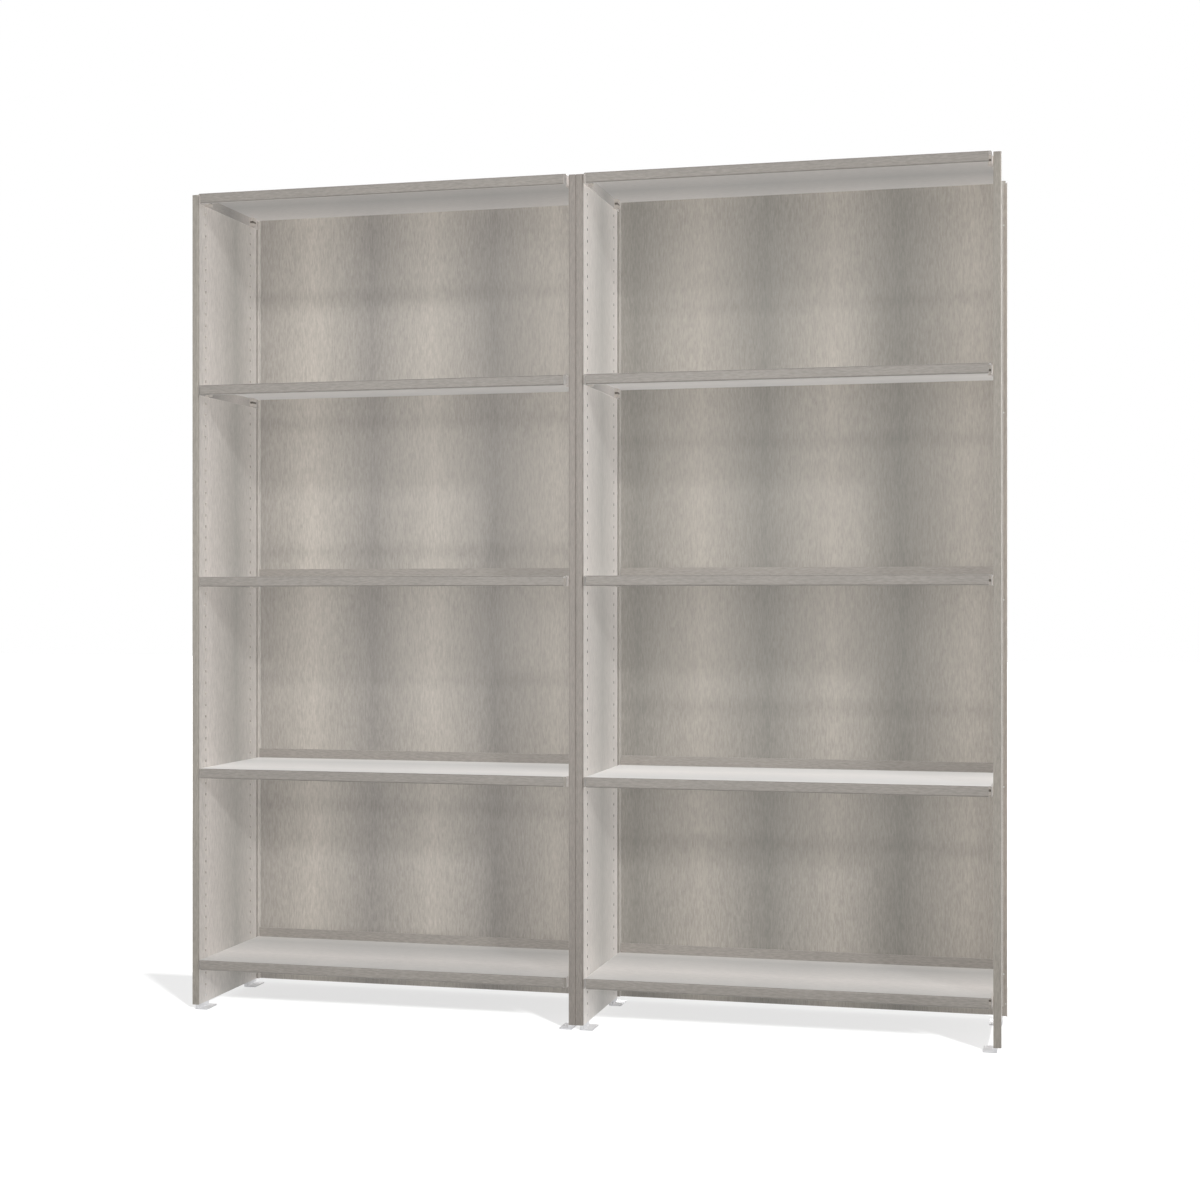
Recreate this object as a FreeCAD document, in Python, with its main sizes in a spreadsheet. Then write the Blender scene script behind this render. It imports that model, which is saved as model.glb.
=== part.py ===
import FreeCAD, Part
import math
import os

import Sketcher

# Two-bay aluminium shelving unit: four folded side panels with hole rows, two pan-shaped back
# panels, ten folded shelves on hooked clips, and moulded feet under the side panels.
# Millimetres, +Z up, the front faces -Y, and the origin is on the floor under the unit's middle.

SIZES = (
    ("panel_depth", 375.0, "side panel, front to rear"),
    ("panel_width", 19.5, "front and rear flanges of a side panel"),
    ("panel_gauge", 1.5, "sheet of a side panel"),
    ("panel_bend", 2.5, "inside radius of the side panel's bends"),
    ("panel_return", 12.0, "lip that turns back from each flange"),
    ("hole_pitch", 30.0, "spacing of the holes up a side panel"),
    ("hole_inset", 44.0, "hole row to the nearest edge of the panel"),
    ("hole_width", 5.0, "punched hole, front to rear"),
    ("hole_height", 7.0, "punched hole, up and down"),
    ("first_hole", 17.0, "lowest hole above the panel's bottom edge"),
    ("top_margin", 13.0, "highest hole below the panel's top edge"),
    ("rail_inside", 16.0, "hole rail, clear width behind the hole row"),
    ("rail_depth", 7.0, "hole rail, clear depth behind the side panel"),
    ("rail_flange", 8.0, "hole rail, flange on the side panel"),
    ("rail_gauge", 1.0, "sheet of a hole rail"),
    ("rail_gap", 4.0, "hole rail to the foot's tab and to the panel's top edge"),
    ("notch_height", 34.0, "notch at the foot of the rear flange"),
    ("notch_top_strip", 3.5, "flange left beside the notch at its top"),
    ("notch_foot_strip", 9.0, "flange left beside the notch at its foot"),
    ("bay_width", 1020.0, "clear width between the side panels of a bay"),
    ("shelf_gauge", 1.5, "sheet of a shelf"),
    ("shelf_bend", 2.0, "inside radius of the shelf's bends"),
    ("shelf_lip", 26.0, "front and end lips, down from the top"),
    ("shelf_return", 10.0, "lip that turns back under the front lip"),
    ("shelf_upstand", 26.0, "rear lip, up from the top"),
    ("shelf_proud", 11.0, "shelf front before the panel fronts"),
    ("shelf_rear_gap", 1.0, "rear lip to the back panel's border"),
    ("shelf_end_gap", 3.0, "end lip to the side panel"),
    ("shelf_corner_gap", 7.0, "front and rear lips short of the shelf's ends"),
    ("shelf_rise", 14.0, "shelf top above the middle of its hole"),
    ("clip_length", 26.0, "shelf clip, front to rear"),
    ("clip_reach", 14.0, "shelf clip, out from the side panel"),
    ("clip_play", 0.5, "room between a clip and the bent end of a shelf"),
    ("clip_drop", 24.5, "foot of a clip below the shelf's top"),
    ("clip_slot", 6.0, "slot in the face of a clip, up and down"),
    ("clip_slot_depth", 9.0, "slot in the face of a clip, inwards"),
    ("peg_clearance", 0.15, "peg to the wall of its hole"),
    ("peg_tail", 3.0, "hook behind the side panel"),
    ("back_gauge", 1.0, "sheet of a back panel"),
    ("back_bend", 1.5, "inside radius of the back panel's bends"),
    ("back_recess", 8.0, "back panel's field behind its border"),
    ("back_overlap", 15.0, "border behind the rear flange of a side panel"),
    ("back_border", 7.0, "border that shows inside the bay"),
    ("back_rise", 7.0, "back panel above the side panels' top edges"),
    ("foot_height", 12.0, "floor to the side panel's bottom edge"),
    ("foot_plate", 3.0, "sole of a foot"),
    ("foot_length", 65.0, "foot, front to rear"),
    ("foot_reach", 25.0, "sole out into the bay"),
    ("foot_under", 9.0, "sole under the side panel's flange"),
    ("foot_corner", 4.0, "rounded corners of the sole"),
    ("foot_tab", 30.0, "tab of a foot inside the side panel, upwards"),
    ("foot_tab_width", 26.0, "tab of a foot, front to rear"),
    ("foot_tab_gauge", 4.0, "tab of a foot, thickness"),
    ("screw_size", 4.0, "back panel screw, shank"),
    ("screw_head", 7.0, "back panel screw, head across flats"),
    ("screw_head_height", 2.5, "back panel screw, head"),
    ("screw_grip", 4.5, "back panel screw, shank inside the flange"),
    ("screw_edge", 5.0, "back panel screw from the edge of the border"),
    ("screw_margin", 109.0, "end screws from the panel's ends"),
    ("bolt_size", 4.0, "joining bolt, shank"),
    ("bolt_head", 7.0, "joining bolt and nut across flats"),
    ("bolt_head_height", 3.5, "joining bolt, head"),
    ("bolt_margin", 64.0, "joining bolts from the panel's ends"),
    ("nut_height", 4.0, "nut of a joining bolt"),
    ("bolt_tip", 1.0, "bolt end past its nut"),
    ("fastener_clearance", 0.2, "shank to the wall of its hole"),
)

SHELVES = 5
LOWEST_STEP = 3  # hole steps below the hole of the lowest shelf
LEVEL_STEPS = 17  # hole steps from shelf to shelf
HOLES = LOWEST_STEP + LEVEL_STEPS * (SHELVES - 1) + 1
SCREWS = 5  # up each border of a back panel


class Size:
    """A length, held as a value and as the expression that ties it to the sheet."""

    def __init__(self, value, text):
        self.value = value
        self.text = text

    def __add__(self, other):
        other = size(other)
        return Size(self.value + other.value, f"({self.text} + {other.text})")

    def __sub__(self, other):
        other = size(other)
        return Size(self.value - other.value, f"({self.text} - {other.text})")

    def __mul__(self, factor):
        other = size(factor)
        return Size(self.value * other.value, f"({self.text} * {other.text})")

    def __truediv__(self, factor):
        other = size(factor)
        return Size(self.value / other.value, f"({self.text} / {other.text})")

    def __neg__(self):
        return self * -1


def size(number):
    """Turns a plain number into a Size and leaves a Size as it is."""
    if isinstance(number, Size):
        return number
    return Size(float(number), f"({number})")


ZERO = size(0)

doc = FreeCAD.newDocument("shelving_unit")
sheet = doc.addObject("Spreadsheet::Sheet", "Sizes")
dims = {}
for row, (alias, value, note) in enumerate(SIZES, start=1):
    sheet.set(f"A{row}", alias)
    sheet.set(f"B{row}", str(value))
    sheet.set(f"C{row}", note)
    sheet.setAlias(f"B{row}", alias)
    dims[alias] = Size(value, f"Sizes.{alias}")
doc.recompute()


class Sizes:
    """The sheet's sizes as attributes."""

    def __getattr__(self, alias):
        return dims[alias]


S = Sizes()


def origin_feature(body, role):
    """Finds one of a body's own planes or axes."""
    return next(feature for feature in body.Origin.OriginFeatures if feature.Role == role)


def new_body(label, x, y, z):
    """Starts a sub-part at its place in the unit."""
    body = doc.addObject("PartDesign::Body", label)
    body.Label = label
    for axis, place in zip("xyz", (x, y, z)):
        body.setExpression(f"Placement.Base.{axis}", place.text)
    return body


def new_sketch(body, plane, name, offset=None):
    """Starts a sketch on one of the body's planes, moved along the plane's normal by offset."""
    sketch = body.newObject("Sketcher::SketchObject", name)
    sketch.AttachmentSupport = (origin_feature(body, plane), [""])
    sketch.MapMode = "FlatFace"
    if offset is not None:
        sketch.setExpression("AttachmentOffset.Base.z", offset.text)
    return sketch


def constrain(sketch, rules):
    """Adds constraints, and ties each one that has a Size to the sheet."""
    first = sketch.ConstraintCount
    sketch.addConstraint([rule for rule, _ in rules])
    for index, (_, length) in enumerate(rules, start=first):
        if length is not None:
            sketch.setExpression(f"Constraints[{index}]", length.text)


def draw_outline(body, plane, name, corners, offset=None):
    """Draws a closed outline through corners (x, y) or, where it is rounded, (x, y, radius).

    Level and upright edges are held by their place, and a sloping edge by its ends.
    """
    sketch = new_sketch(body, plane, name, offset)
    count = len(corners)
    points = [FreeCAD.Vector(corner[0].value, corner[1].value, 0) for corner in corners]
    radii = [corner[2] if len(corner) > 2 else None for corner in corners]
    ways = [(points[(i + 1) % count] - points[i]).normalize() for i in range(count)]
    trims = []
    for i, radius in enumerate(radii):
        turn = ways[i - 1].getAngle(ways[i])
        trims.append(radius.value * math.tan(turn / 2) if radius else 0.0)
    starts = [points[i] + ways[i] * trims[i] for i in range(count)]
    ends = [points[i] - ways[i - 1] * trims[i] for i in range(count)]
    level = [abs(way.y) < 1e-9 for way in ways]
    upright = [abs(way.x) < 1e-9 for way in ways]
    lines = [Part.LineSegment(starts[i], ends[(i + 1) % count]) for i in range(count)]
    sketch.addGeometry(lines)

    rules = []
    for i in range(count):
        if level[i]:
            rules.append((Sketcher.Constraint("Horizontal", i), None))
            rule = Sketcher.Constraint("DistanceY", -1, 1, i, 1, points[i].y)
            rules.append((rule, corners[i][1]))
        elif upright[i]:
            rules.append((Sketcher.Constraint("Vertical", i), None))
            rule = Sketcher.Constraint("DistanceX", -1, 1, i, 1, points[i].x)
            rules.append((rule, corners[i][0]))
    for i, radius in enumerate(radii):
        before = (i - 1) % count
        if radius:
            left_turn = ways[before].cross(ways[i]).z > 0
            side = FreeCAD.Vector(-ways[i].y, ways[i].x, 0) * (1 if left_turn else -1)
            centre = starts[i] + side * radius.value
            first, last = (ends[i], starts[i]) if left_turn else (starts[i], ends[i])
            angles = [math.atan2(p.y - centre.y, p.x - centre.x) for p in (first, last)]
            circle = Part.Circle(centre, FreeCAD.Vector(0, 0, 1), radius.value)
            arc = sketch.addGeometry(Part.ArcOfCircle(circle, *angles))
            arrives, leaves = (1, 2) if left_turn else (2, 1)
            rules.append((Sketcher.Constraint("Tangent", before, 2, arc, arrives), None))
            rules.append((Sketcher.Constraint("Tangent", arc, leaves, i, 1), None))
            rules.append((Sketcher.Constraint("Radius", arc, radius.value), radius))
            continue
        rules.append((Sketcher.Constraint("Coincident", before, 2, i, 1), None))
        if not (level[before] or level[i]):
            rule = Sketcher.Constraint("DistanceY", -1, 1, i, 1, points[i].y)
            rules.append((rule, corners[i][1]))
        if not (upright[before] or upright[i]):
            rule = Sketcher.Constraint("DistanceX", -1, 1, i, 1, points[i].x)
            rules.append((rule, corners[i][0]))
    constrain(sketch, rules)
    return sketch


def draw_circle(body, plane, name, x, y, diameter, offset=None):
    """Draws one circle."""
    sketch = new_sketch(body, plane, name, offset)
    centre = FreeCAD.Vector(x.value, y.value, 0)
    sketch.addGeometry(Part.Circle(centre, FreeCAD.Vector(0, 0, 1), diameter.value / 2))
    constrain(sketch, [
        (Sketcher.Constraint("DistanceX", -1, 1, 0, 3, x.value), x),
        (Sketcher.Constraint("DistanceY", -1, 1, 0, 3, y.value), y),
        (Sketcher.Constraint("Diameter", 0, diameter.value), diameter),
    ])
    return sketch


def rectangle(low_x, low_y, high_x, high_y):
    """Corners of an upright rectangle."""
    return [(low_x, low_y), (high_x, low_y), (high_x, high_y), (low_x, high_y)]


def hexagon(x, y, flats):
    """Corners of a hexagon with two upright sides."""
    radius = flats / math.sqrt(3)
    ring = [math.radians(60 * step + 30) for step in range(6)]
    return [(x + radius * round(math.cos(a), 9), y + radius * round(math.sin(a), 9)) for a in ring]


def pad(body, name, sketch, length, symmetric=False, backwards=False):
    """Adds the sketch's outline as a solid."""
    feature = body.newObject("PartDesign::Pad", name)
    feature.Profile = sketch
    feature.SideType = "Symmetric" if symmetric else "One side"
    feature.Reversed = backwards
    feature.setExpression("Length", length.text)
    body.Tip = feature
    return feature


def pocket(body, name, sketch, length=None):
    """Cuts the outline half of length to each side of its plane, or right through the body."""
    feature = body.newObject("PartDesign::Pocket", name)
    feature.Profile = sketch
    feature.SideType = "Symmetric"
    feature.Refine = False
    if length is None:
        feature.Type = "ThroughAll"
    else:
        feature.Type = "Length"
        feature.setExpression("Length", length.text)
    body.Tip = feature
    return feature


def repeat(body, name, originals, *runs):
    """Repeats features along one or two runs, each an axis, a count and a spacing."""
    pattern = body.newObject("PartDesign::LinearPattern", name)
    pattern.Originals = originals
    pattern.Refine = False
    for suffix, (axis, count, spacing) in zip(("", "2"), runs):
        setattr(pattern, "Direction" + suffix, (origin_feature(body, axis), [""]))
        setattr(pattern, "Mode" + suffix, "Extent")
        pattern.setExpression("Length" + suffix, (spacing * (count - 1)).text)
        setattr(pattern, "Occurrences" + suffix, count)
    body.Tip = pattern
    return pattern


def mirror_image(source):
    """Makes the right bay's piece from the left bay's, across the middle of the unit."""
    label = source.Label.replace("left", "right")
    feature = doc.addObject("Part::Mirroring", label)
    feature.Label = label
    feature.Source = source
    feature.Base = FreeCAD.Vector(0, 0, 0)
    feature.Normal = FreeCAD.Vector(1, 0, 0)
    return feature


# Places that several pieces share

PANEL_HEIGHT = S.first_hole + S.hole_pitch * (HOLES - 1) + S.top_margin
FRONT_Y = (S.shelf_proud - S.panel_depth - S.back_recess - S.back_gauge) / 2
REAR_Y = FRONT_Y + S.panel_depth
BAY_X = -(S.panel_width + S.bay_width / 2)
ROW_SPACING = S.panel_depth - S.hole_inset * 2
PEG_WIDTH = S.hole_width - S.peg_clearance * 2
PEG_HALF_HEIGHT = S.hole_height / 2 - S.peg_clearance
SCREW_INSET = S.back_overlap - S.screw_edge
SCREW_SPACING = (PANEL_HEIGHT - S.screw_margin * 2) / (SCREWS - 1)
BOLT_INSET = (S.panel_gauge + S.panel_bend + S.panel_return) / 2
BOLT_RISE = PANEL_HEIGHT - S.bolt_margin * 2
BOLT_SPREAD = S.panel_depth - BOLT_INSET * 2
SHEET_CUT = S.panel_gauge * 4

# Side panels of the left bay: the place of the bay face, the way the flanges turn, whether joined
SIDE_PANELS = {
    "left_end": (-(S.panel_width + S.bay_width), -1, False),
    "left_middle": (-S.panel_width, 1, True),
}


def level_height(level):
    """Height of a shelf's top above the floor, with level 1 the lowest."""
    steps = LOWEST_STEP + LEVEL_STEPS * (level - 1)
    return S.foot_height + S.first_hole + S.hole_pitch * steps + S.shelf_rise


def side_panel(name, bay_face, hand, joined):
    """Folded sheet with flanges and return lips away from the bay, and two rows of holes."""
    body = new_body(f"side_panel_{name}", bay_face, FRONT_Y, S.foot_height)
    sheet_in = S.panel_gauge
    outer = S.panel_gauge + S.panel_bend
    inner = S.panel_bend
    depth = S.panel_depth

    def across(distance):
        return distance * hand

    width = across(S.panel_width)
    lip_in = across(S.panel_width - sheet_in)
    section = [
        (ZERO, ZERO, outer),
        (width, ZERO, outer),
        (width, S.panel_return),
        (lip_in, S.panel_return),
        (lip_in, sheet_in, inner),
        (across(sheet_in), sheet_in, inner),
        (across(sheet_in), depth - sheet_in, inner),
        (lip_in, depth - sheet_in, inner),
        (lip_in, depth - S.panel_return),
        (width, depth - S.panel_return),
        (width, depth, outer),
        (ZERO, depth, outer),
    ]
    pad(body, "fold", draw_outline(body, "XY_Plane", "section", section), PANEL_HEIGHT)

    notch = [
        (across(outer), ZERO),
        (across(S.panel_width - S.notch_foot_strip), ZERO),
        (across(S.panel_width - S.notch_top_strip), S.notch_height),
        (across(outer), S.notch_height),
    ]
    rear_notch = draw_outline(body, "XZ_Plane", "notch", notch, -depth)
    pocket(body, "rear_notch", rear_notch, SHEET_CUT)

    screw_hole = draw_circle(body, "XZ_Plane", "screw_hole", across(SCREW_INSET), S.screw_margin,
                             S.screw_size + S.fastener_clearance * 2, -depth)
    drilled = pocket(body, "screw_drill", screw_hole, SHEET_CUT)
    repeat(body, "screw_holes", [drilled], ("Z_Axis", SCREWS, SCREW_SPACING))

    if joined:
        bolt_hole = draw_circle(body, "YZ_Plane", "bolt_hole", BOLT_INSET, S.bolt_margin,
                                S.bolt_size + S.fastener_clearance * 2, width)
        bored = pocket(body, "bolt_drill", bolt_hole, SHEET_CUT)
        repeat(body, "bolt_holes", [bored],
               ("Z_Axis", 2, BOLT_RISE), ("Y_Axis", 2, BOLT_SPREAD))

    hole = rectangle(
        S.hole_inset - S.hole_width / 2, S.first_hole - S.hole_height / 2,
        S.hole_inset + S.hole_width / 2, S.first_hole + S.hole_height / 2,
    )
    punched = pocket(body, "punch", draw_outline(body, "YZ_Plane", "hole", hole), SHEET_CUT)
    repeat(body, "hole_rows", [punched],
           ("Z_Axis", HOLES, S.hole_pitch), ("Y_Axis", 2, ROW_SPACING))
    return body


def hole_rail(name, bay_face, hand, at_front):
    """Hat-shaped rail welded inside a side panel, which closes a hole row from behind."""
    end = "front" if at_front else "rear"
    body = new_body(f"hole_rail_{name}_{end}", bay_face, FRONT_Y, S.foot_height)
    row = S.hole_inset if at_front else S.panel_depth - S.hole_inset
    web = S.panel_gauge * hand
    flange = (S.panel_gauge + S.rail_gauge) * hand
    roof_in = (S.panel_gauge + S.rail_depth) * hand
    roof_out = (S.panel_gauge + S.rail_depth + S.rail_gauge) * hand
    inside = S.rail_inside / 2
    outside = inside + S.rail_gauge
    edge = inside + S.rail_flange
    section = [
        (web, row - edge),
        (web, row - inside),
        (roof_in, row - inside),
        (roof_in, row + inside),
        (web, row + inside),
        (web, row + edge),
        (flange, row + edge),
        (flange, row + outside),
        (roof_out, row + outside),
        (roof_out, row - outside),
        (flange, row - outside),
        (flange, row - edge),
    ]
    foot_end = S.foot_tab + S.rail_gap
    shape = draw_outline(body, "XY_Plane", "section", section, foot_end)
    pad(body, "fold", shape, PANEL_HEIGHT - foot_end - S.rail_gap)
    return body


def shelf(level):
    """Folded tray: front lip and end lips turned down, rear lip turned up, corners left open."""
    body = new_body(f"shelf_left_{level}", BAY_X, FRONT_Y, level_height(level))
    gauge = S.shelf_gauge
    inner = S.shelf_bend
    outer = gauge + inner
    half = S.bay_width / 2 - S.shelf_end_gap
    front = -S.shelf_proud
    rear = S.panel_depth - S.shelf_rear_gap

    run = [
        (front, ZERO, outer),
        (rear - gauge, ZERO, inner),
        (rear - gauge, S.shelf_upstand),
        (rear, S.shelf_upstand),
        (rear, -gauge, outer),
        (front + gauge, -gauge, inner),
        (front + gauge, gauge - S.shelf_lip, inner),
        (front + S.shelf_return, gauge - S.shelf_lip),
        (front + S.shelf_return, -S.shelf_lip),
        (front, -S.shelf_lip, outer),
    ]
    lips_length = (half - S.shelf_corner_gap) * 2
    pad(body, "deck", draw_outline(body, "YZ_Plane", "run", run), lips_length, symmetric=True)

    ends = [
        (-half, -S.shelf_lip),
        (-half + gauge, -S.shelf_lip),
        (-half + gauge, -gauge, inner),
        (half - gauge, -gauge, inner),
        (half - gauge, -S.shelf_lip),
        (half, -S.shelf_lip),
        (half, ZERO, outer),
        (-half, ZERO, outer),
    ]
    channel = draw_outline(body, "XZ_Plane", "ends", ends, -(front + outer))
    pad(body, "end_lips", channel, rear - front - outer * 2, backwards=True)

    notch_half = S.clip_length / 2 + S.clip_play
    notch_top = -(outer + S.clip_play * 2)
    notch = rectangle(
        S.hole_inset - notch_half, -S.shelf_lip - S.clip_play, S.hole_inset + notch_half, notch_top,
    )
    cut = pocket(body, "clip_notch", draw_outline(body, "YZ_Plane", "notch", notch))
    repeat(body, "clip_notches", [cut], ("Y_Axis", 2, ROW_SPACING))
    return body


def shelf_clips(level):
    """Four moulded clips that carry one shelf: a slotted block, and a hooked peg in the panel."""
    place_y = FRONT_Y + S.hole_inset
    body = new_body(f"shelf_clips_left_{level}", BAY_X, place_y, level_height(level))
    seat = -S.shelf_gauge
    neck = S.shelf_end_gap + S.shelf_gauge + S.shelf_bend + S.clip_play
    neck_top = -(S.shelf_gauge + S.shelf_bend + S.clip_play * 3)
    slot_in = S.clip_reach - S.clip_slot_depth
    slot_low = -S.shelf_rise - S.clip_slot / 2
    slot_high = -S.shelf_rise + S.clip_slot / 2
    hook_face = -S.panel_gauge - S.peg_clearance
    hook_back = hook_face - S.peg_tail
    peg_low = -S.shelf_rise - PEG_HALF_HEIGHT
    peg_high = -S.shelf_rise + PEG_HALF_HEIGHT
    block = [
        (ZERO, -S.clip_drop),
        (S.clip_reach, -S.clip_drop),
        (S.clip_reach, slot_low),
        (slot_in, slot_low),
        (slot_in, slot_high),
        (S.clip_reach, slot_high),
        (S.clip_reach, seat),
        (neck, seat),
        (neck, neck_top),
        (ZERO, neck_top),
    ]
    hook = [
        (ZERO, peg_low),
        (ZERO, peg_high),
        (hook_back, peg_high),
        (hook_back, peg_low - S.peg_tail),
        (hook_face, peg_low - S.peg_tail),
        (hook_face, peg_low),
    ]
    pads = []
    for side, hand in (("left", 1), ("right", -1)):
        for piece, outline, length in (("block", block, S.clip_length), ("hook", hook, PEG_WIDTH)):
            corners = [((out - S.bay_width / 2) * hand, up) for out, up in outline]
            shape = draw_outline(body, "XZ_Plane", f"{side}_{piece}_shape", corners)
            pads.append(pad(body, f"{side}_{piece}", shape, length, symmetric=True))
    repeat(body, "front_and_rear", pads, ("Y_Axis", 2, ROW_SPACING))
    return body


def back_panel():
    """Pan-shaped sheet: borders lie on the rear flanges, and the field is set back behind them."""
    body = new_body("back_panel_left", BAY_X, REAR_Y, S.foot_height)
    gauge = S.back_gauge
    inner = S.back_bend
    outer = gauge + inner
    edge = S.bay_width / 2 + S.back_overlap
    step = S.bay_width / 2 - S.back_border
    field = S.back_recess
    section = [
        (-edge, ZERO),
        (-step, ZERO, outer),
        (-step, field, inner),
        (step, field, inner),
        (step, ZERO, outer),
        (edge, ZERO),
        (edge, gauge),
        (step + gauge, gauge, inner),
        (step + gauge, field + gauge, outer),
        (-step - gauge, field + gauge, outer),
        (-step - gauge, gauge, inner),
        (-edge, gauge),
    ]
    pad(body, "fold", draw_outline(body, "XY_Plane", "section", section),
        PANEL_HEIGHT + S.back_rise)

    holes_x = S.bay_width / 2 + SCREW_INSET
    screw_hole = draw_circle(body, "XZ_Plane", "screw_hole", -holes_x, S.screw_margin,
                             S.screw_size + S.fastener_clearance * 2)
    drilled = pocket(body, "screw_drill", screw_hole, gauge * 4)
    repeat(body, "screw_holes", [drilled],
           ("Z_Axis", SCREWS, SCREW_SPACING), ("X_Axis", 2, holes_x * 2))
    return body


def back_screws():
    """Hexagon-headed screws through the borders of a back panel into the rear flanges."""
    body = new_body("back_screws_left", BAY_X, REAR_Y, S.foot_height)
    holes_x = S.bay_width / 2 + SCREW_INSET
    head = draw_outline(body, "XZ_Plane", "head_shape",
                        hexagon(-holes_x, S.screw_margin, S.screw_head), -S.back_gauge)
    heads = pad(body, "head", head, S.screw_head_height, backwards=True)
    shank = draw_circle(body, "XZ_Plane", "shank_shape", -holes_x, S.screw_margin, S.screw_size,
                        -S.back_gauge)
    shanks = pad(body, "shank", shank, S.back_gauge + S.screw_grip)
    repeat(body, "both_borders", [heads, shanks],
           ("Z_Axis", SCREWS, SCREW_SPACING), ("X_Axis", 2, holes_x * 2))
    return body


def joining_bolts():
    """Bolts through the touching return lips of the two middle side panels."""
    body = new_body("joining_bolts", ZERO, FRONT_Y, S.foot_height)
    head_face = -S.panel_gauge
    head = draw_outline(body, "YZ_Plane", "head_shape",
                        hexagon(BOLT_INSET, S.bolt_margin, S.bolt_head), head_face)
    heads = pad(body, "head", head, S.bolt_head_height, backwards=True)
    shank = draw_circle(body, "YZ_Plane", "shank_shape", BOLT_INSET, S.bolt_margin, S.bolt_size,
                        head_face)
    shanks = pad(body, "shank", shank, S.panel_gauge * 2 + S.nut_height + S.bolt_tip)
    repeat(body, "four_corners", [heads, shanks],
           ("Z_Axis", 2, BOLT_RISE), ("Y_Axis", 2, BOLT_SPREAD))
    return body


def joining_nuts():
    """Nuts of the joining bolts."""
    body = new_body("joining_nuts", ZERO, FRONT_Y, S.foot_height)
    nut = draw_outline(body, "YZ_Plane", "nut_shape",
                       hexagon(BOLT_INSET, S.bolt_margin, S.bolt_head), S.panel_gauge)
    solid = pad(body, "nut", nut, S.nut_height)
    bore = draw_circle(body, "YZ_Plane", "bore_shape", BOLT_INSET, S.bolt_margin,
                       S.bolt_size + S.fastener_clearance * 2, S.panel_gauge)
    hole = pocket(body, "bore", bore, S.nut_height * 4)
    repeat(body, "four_corners", [solid, hole],
           ("Z_Axis", 2, BOLT_RISE), ("Y_Axis", 2, BOLT_SPREAD))
    return body


def foot(name, bay_face, hand, at_front):
    """Moulded foot: a sole on the floor, a riser under the panel, and a tab pegged to its web."""
    end = "front" if at_front else "rear"
    way = 1 if at_front else -1
    place_y = FRONT_Y if at_front else REAR_Y
    body = new_body(f"foot_{name}_{end}", bay_face, place_y, ZERO)
    reach = S.foot_reach * -hand
    under = S.foot_under * hand
    back = S.foot_length * way
    sole = [
        (under, ZERO),
        (reach, ZERO, S.foot_corner),
        (reach, back, S.foot_corner),
        (under, back),
    ]
    pad(body, "sole", draw_outline(body, "XY_Plane", "sole_shape", sole), S.foot_plate)

    riser = rectangle(ZERO, S.foot_plate, under, S.foot_height)
    pad(body, "riser", draw_outline(body, "XZ_Plane", "riser_shape", riser), S.foot_length,
        backwards=at_front)

    row = S.hole_inset * -way
    web = S.panel_gauge * hand
    tab = rectangle(web, S.foot_height, web + S.foot_tab_gauge * hand, S.foot_height + S.foot_tab)
    tab_shape = draw_outline(body, "XZ_Plane", "tab_shape", tab, row)
    pad(body, "tab", tab_shape, S.foot_tab_width, symmetric=True)

    middle = S.foot_height + S.first_hole
    peg = rectangle(S.peg_clearance * hand, middle - PEG_HALF_HEIGHT, web, middle + PEG_HALF_HEIGHT)
    pad(body, "peg", draw_outline(body, "XZ_Plane", "peg_shape", peg, row), PEG_WIDTH, symmetric=True)
    return body


nodes = []
for name, (bay_face, hand, joined) in SIDE_PANELS.items():
    nodes.append(side_panel(name, bay_face, hand, joined))
    for at_front in (True, False):
        nodes.append(hole_rail(name, bay_face, hand, at_front))
        nodes.append(foot(name, bay_face, hand, at_front))
nodes.append(back_panel())
nodes.append(back_screws())
for level in range(1, SHELVES + 1):
    nodes.append(shelf(level))
    nodes.append(shelf_clips(level))
nodes += [mirror_image(node) for node in nodes]
nodes.append(joining_bolts())
nodes.append(joining_nuts())
doc.recompute()

failed = [item.Name for item in doc.Objects if {"Invalid", "Error"} & set(item.State)]
for node in nodes:
    if node.Shape.isNull() or not node.Shape.isValid():
        failed.append(node.Label)
if failed:
    raise RuntimeError("failed objects: " + ", ".join(failed))

os.makedirs("parts", exist_ok=True)
for node in nodes:
    node.Shape.exportStep(f"parts/{node.Label}.step")
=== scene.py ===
"""Dresses the shelving unit: brushed aluminium, moulded fittings, plated screws and a studio."""

import logging
import math
from dataclasses import dataclass, field
from enum import Enum
from typing import Any

import bpy
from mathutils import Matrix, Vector


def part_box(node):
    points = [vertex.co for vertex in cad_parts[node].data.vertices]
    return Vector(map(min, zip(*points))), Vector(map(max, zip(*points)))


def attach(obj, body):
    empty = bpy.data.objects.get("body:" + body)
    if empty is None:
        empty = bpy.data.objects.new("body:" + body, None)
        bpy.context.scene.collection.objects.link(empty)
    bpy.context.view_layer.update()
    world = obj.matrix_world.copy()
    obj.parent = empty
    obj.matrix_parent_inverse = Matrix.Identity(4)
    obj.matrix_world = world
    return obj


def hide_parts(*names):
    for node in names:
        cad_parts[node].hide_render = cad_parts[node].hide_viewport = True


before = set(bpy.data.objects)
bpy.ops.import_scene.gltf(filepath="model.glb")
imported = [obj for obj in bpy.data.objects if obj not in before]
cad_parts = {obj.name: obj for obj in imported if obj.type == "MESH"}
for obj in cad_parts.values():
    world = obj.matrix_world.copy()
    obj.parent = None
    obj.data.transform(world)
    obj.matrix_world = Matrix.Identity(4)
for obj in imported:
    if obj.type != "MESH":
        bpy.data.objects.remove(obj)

LOG = logging.getLogger("shelving_unit")
CARCASS = "carcass"
MM = 0.001
UNIT_MIDDLE = 1.1
WHITE = (1.0, 1.0, 1.0, 1.0)

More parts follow.
